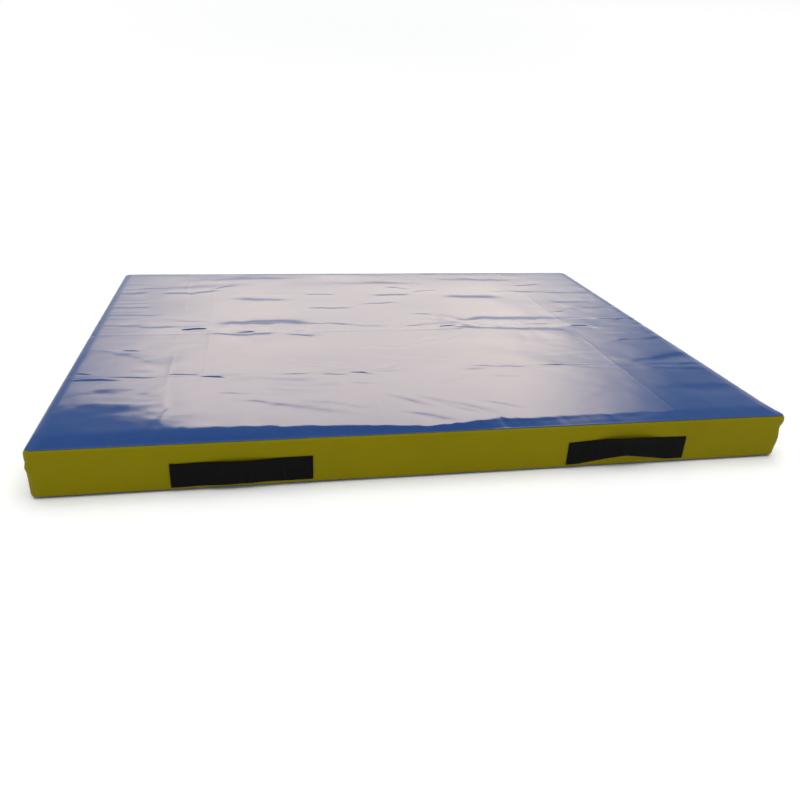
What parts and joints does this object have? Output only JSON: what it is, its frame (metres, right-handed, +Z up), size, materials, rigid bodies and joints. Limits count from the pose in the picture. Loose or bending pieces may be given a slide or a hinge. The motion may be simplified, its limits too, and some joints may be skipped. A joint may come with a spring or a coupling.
{
  "type": "folding gym mat",
  "caption": "Thick foam gym mat in a sewn vinyl cover, folding in half across its depth on its top sheet, with webbing carry handles and end zips.",
  "frame": {"origin": "middle of the mat's underside, on the floor, with the mat unfolded", "axes": "+X along the long side, to the right as seen from the front; -Y towards the front; +Z up"},
  "size_m": [1.5096, 1.228, 0.1],
  "materials": {
    "top_vinyl": "glossy blue PVC-coated fabric",
    "side_vinyl": "satin olive-yellow PVC-coated fabric",
    "base_vinyl": "matte dark blue PVC-coated fabric with a grip grain",
    "webbing": "black woven polypropylene webbing",
    "foam": "cream polyurethane foam",
    "zip_tape": "black woven zip tape",
    "zip_coil": "black nylon coil",
    "zip_metal": "nickel-plated metal"
  },
  "bodies": {
    "front_section": {"front_foam_core": "foam", "front_top_sheet": "top_vinyl", "front_side_band": "side_vinyl", "front_fold_wall": "side_vinyl", "front_base_sheet": "base_vinyl", "front_left_handle_backing": "side_vinyl", "front_left_handle_left_tab": "webbing", "front_left_handle_right_tab": "webbing", "front_right_handle_backing": "side_vinyl", "front_right_handle_left_tab": "webbing", "front_right_handle_right_tab": "webbing", "front_zip_upper_tape": "zip_tape", "front_zip_lower_tape": "zip_tape", "front_zip_chain": "zip_coil", "front_zip_top_stop": "zip_metal", "front_zip_bottom_stop": "zip_metal", "fold_strip": "top_vinyl"},
    "rear_section": {"rear_foam_core": "foam", "rear_top_sheet": "top_vinyl", "rear_side_band": "side_vinyl", "rear_fold_wall": "side_vinyl", "rear_base_sheet": "base_vinyl", "rear_left_handle_backing": "side_vinyl", "rear_left_handle_left_tab": "webbing", "rear_left_handle_right_tab": "webbing", "rear_right_handle_backing": "side_vinyl", "rear_right_handle_left_tab": "webbing", "rear_right_handle_right_tab": "webbing", "rear_zip_upper_tape": "zip_tape", "rear_zip_lower_tape": "zip_tape", "rear_zip_chain": "zip_coil", "rear_zip_top_stop": "zip_metal", "rear_zip_bottom_stop": "zip_metal"},
    "front_left_grip": {"front_left_handle_grip": "webbing"},
    "front_right_grip": {"front_right_handle_grip": "webbing"},
    "front_slider": {"front_zip_slider": "zip_metal"},
    "front_pull": {"front_zip_pull": "zip_metal"},
    "rear_left_grip": {"rear_left_handle_grip": "webbing"},
    "rear_right_grip": {"rear_right_handle_grip": "webbing"},
    "rear_slider": {"rear_zip_slider": "zip_metal"},
    "rear_pull": {"rear_zip_pull": "zip_metal"}
  },
  "joints": [
    {"name": "fold", "type": "hinge", "parent": "front_section", "child": "rear_section", "pos_m": [0, 0, 0.1005], "axis": [1, 0, 0], "range_deg": [0, 179.5], "deforming": ["fold_strip"]},
    {"name": "front_left_grip_pull_out", "type": "slide", "parent": "front_section", "child": "front_left_grip", "axis": [0, -1, 0], "range_m": [0, 0.015]},
    {"name": "front_right_grip_pull_out", "type": "slide", "parent": "front_section", "child": "front_right_grip", "axis": [0, -1, 0], "range_m": [0, 0.015]},
    {"name": "front_zip_travel", "type": "slide", "parent": "front_section", "child": "front_slider", "axis": [0, 1, 0], "range_m": [0, 0.505]},
    {"name": "front_zip_pull_turn", "type": "hinge", "parent": "front_slider", "child": "front_pull", "pos_m": [-0.7522, -0.56, 0.03], "axis": [0, 0, 1], "range_deg": [0, 180]},
    {"name": "rear_left_grip_pull_out", "type": "slide", "parent": "rear_section", "child": "rear_left_grip", "axis": [0, 1, 0], "range_m": [0, 0.015]},
    {"name": "rear_right_grip_pull_out", "type": "slide", "parent": "rear_section", "child": "rear_right_grip", "axis": [0, 1, 0], "range_m": [0, 0.015]},
    {"name": "rear_zip_travel", "type": "slide", "parent": "rear_section", "child": "rear_slider", "axis": [0, -1, 0], "range_m": [0, 0.505]},
    {"name": "rear_zip_pull_turn", "type": "hinge", "parent": "rear_slider", "child": "rear_pull", "pos_m": [0.7522, 0.56, 0.03], "axis": [0, 0, 1], "range_deg": [0, 180]}
  ]
}
